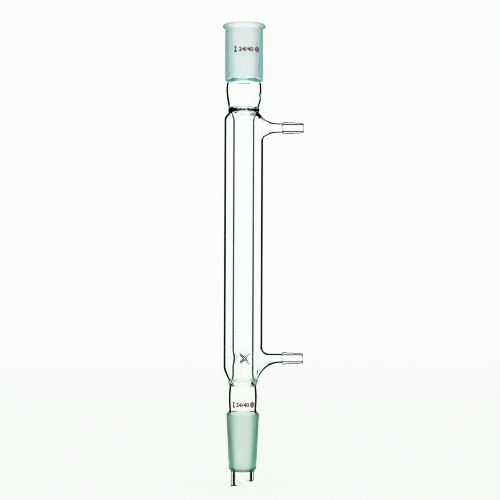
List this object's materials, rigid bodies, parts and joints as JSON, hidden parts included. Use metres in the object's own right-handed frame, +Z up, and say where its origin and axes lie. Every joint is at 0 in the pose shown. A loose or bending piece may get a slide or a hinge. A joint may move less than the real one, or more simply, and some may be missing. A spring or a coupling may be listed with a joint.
{
  "type": "jacketed condenser",
  "caption": "Straight water-cooled condenser of clear glass with a ground socket on top, a ground cone and slanted drip tip below, and a jacket with serrated side hose connections.",
  "frame": {"origin": "on the axis, in the plane of the lower ground cone's wide end", "axes": "+Z up the axis towards the ground socket, +X towards both hose connections"},
  "size_m": [0.0598, 0.0316, 0.34],
  "materials": {
    "clear_glass": "clear fire-polished borosilicate glass, frosted on the two ground tapers",
    "mark_enamel": "fired-on dark red enamel of the size marks"
  },
  "bodies": {
    "root": {"condenser": "clear_glass"}
  },
  "joints": []
}
